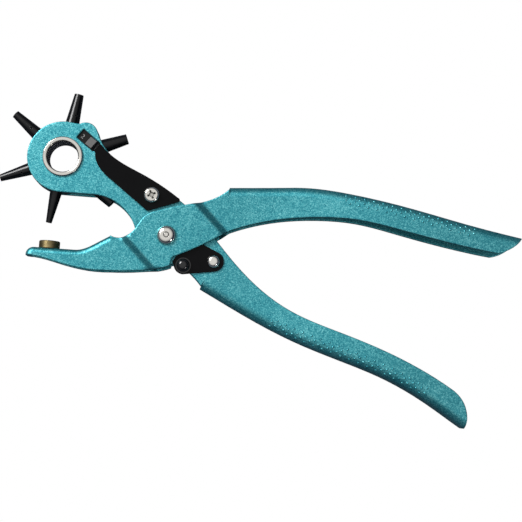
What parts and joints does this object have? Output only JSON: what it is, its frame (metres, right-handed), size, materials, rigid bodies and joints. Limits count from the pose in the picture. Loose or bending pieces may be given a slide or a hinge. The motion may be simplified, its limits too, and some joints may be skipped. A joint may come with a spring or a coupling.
{
  "type": "rotary hole punch",
  "caption": "Hand-held revolving leather punch: two sprung steel handles, a turning head of hollow punches and a brass anvil.",
  "frame": {"origin": "centre of the pivot's flat rear end, on the surface the tool lies on", "axes": "+X from the punch head towards the handle ends, +Y across the handles towards the upper handle, +Z along the pivot, up from the surface the tool lies on"},
  "size_m": [0.2385, 0.1533, 0.0212],
  "materials": {
    "teal_enamel": "hammered metallic enamel on pressed steel",
    "bright_nickel": "bright nickel plate",
    "plain_steel": "zinc-plated steel",
    "spring_steel": "oiled spring wire",
    "black_oxide": "blackened hardened steel, satin to glossy",
    "black_enamel": "gloss black enamel on steel",
    "anvil_brass": "turned brass"
  },
  "bodies": {
    "inner_leg": {"inner_leg": "teal_enamel", "turret_axle": "bright_nickel", "pivot_sleeve": "bright_nickel", "pivot_screw": "bright_nickel", "pivot_washer_front": "plain_steel", "pivot_washer_rear": "plain_steel", "opening_spring": "spring_steel", "index_spring": "black_enamel", "index_screw": "bright_nickel", "neck_spacer": "plain_steel", "index_nut": "plain_steel", "catch_rivet": "bright_nickel"},
    "outer_leg": {"outer_leg": "teal_enamel", "anvil": "anvil_brass"},
    "turret": {"turret_hub": "black_oxide", "punch_2_0": "black_oxide", "punch_2_5": "black_oxide", "punch_3_0": "black_oxide", "punch_3_5": "black_oxide", "punch_4_0": "black_oxide", "punch_4_5": "black_oxide"},
    "catch": {"catch_lever": "black_enamel", "catch_knob": "black_enamel"}
  },
  "joints": [
    {"name": "handles", "type": "hinge", "parent": "inner_leg", "child": "outer_leg", "pos_m": [0, 0, 0.0105], "axis": [0, 0, 1], "range_deg": [-8.8, 0], "stiffness_Nm_per_rad": 0.6, "springref_deg": 34.38, "deforming": ["opening_spring"]},
    {"name": "turret_turn", "type": "hinge", "parent": "inner_leg", "child": "turret", "pos_m": [-0.0475, 0.0362, 0.0105], "axis": [0, 0, 1], "continuous": true},
    {"name": "catch_swing", "type": "hinge", "parent": "inner_leg", "child": "catch", "pos_m": [0.0213, -0.0118, 0.0105], "axis": [0, 0, 1], "range_deg": [0, 40]}
  ]
}
